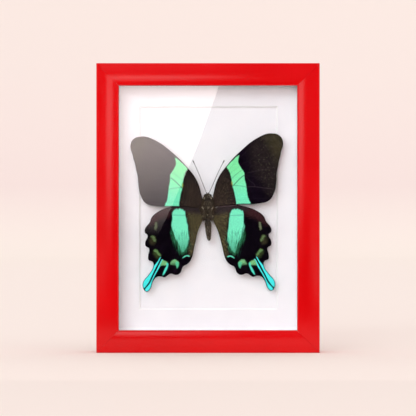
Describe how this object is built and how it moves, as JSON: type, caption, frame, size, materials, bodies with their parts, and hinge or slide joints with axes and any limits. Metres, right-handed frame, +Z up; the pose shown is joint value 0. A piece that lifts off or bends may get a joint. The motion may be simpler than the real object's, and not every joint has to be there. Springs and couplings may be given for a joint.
{
  "type": "framed butterfly specimen",
  "caption": "Deep box frame in red lacquer with glass and a white window mat, holding a spread green-banded swallowtail raised off the board, with a toothed hanger behind.",
  "frame": {"origin": "middle of the underside of the bottom rail, halfway through the rails' depth", "axes": "+Z up along the height, +X to the right seen from the front, +Y out of the back; the glass faces -Y"},
  "size_m": [0.1576, 0.0323, 0.2044],
  "materials": {
    "frame_lacquer": "smooth satin lacquer on wood moulding",
    "glass": "clear float glass",
    "spacer_board": "white lined board strip",
    "mat_board": "fine felted white board with a white core",
    "mount_board": "smooth white board",
    "block_foam": "cut foam",
    "wing_membrane": "dark scaled wing with emerald, turquoise and cyan bands",
    "body_hair": "dense dark hair with a few pale tufts",
    "antenna": "ringed dark horn",
    "hardboard": "brown pressed board",
    "zinc_steel": "zinc-plated sheet steel",
    "bumper_felt": "grey felt"
  },
  "bodies": {
    "root": {"rail_left": "frame_lacquer", "rail_top": "frame_lacquer", "rail_right": "frame_lacquer", "rail_bottom": "frame_lacquer", "glass": "glass", "spacer_left": "spacer_board", "spacer_right": "spacer_board", "spacer_bottom": "spacer_board", "spacer_top": "spacer_board", "window_mat": "mat_board", "mount_board": "mount_board", "mounting_block": "block_foam", "forewing_left": "wing_membrane", "forewing_right": "wing_membrane", "hindwing_left": "wing_membrane", "hindwing_right": "wing_membrane", "head": "body_hair", "thorax": "body_hair", "abdomen": "body_hair", "antenna_left": "antenna", "antenna_right": "antenna", "back_panel": "hardboard", "hanger": "zinc_steel", "hanger_nail_left": "zinc_steel", "hanger_nail_right": "zinc_steel", "point_left_low": "zinc_steel", "point_left_high": "zinc_steel", "point_right_low": "zinc_steel", "point_right_high": "zinc_steel", "point_bottom_a": "zinc_steel", "point_bottom_b": "zinc_steel", "point_top_a": "zinc_steel", "point_top_b": "zinc_steel", "bumper_left": "bumper_felt", "bumper_right": "bumper_felt"}
  },
  "joints": []
}
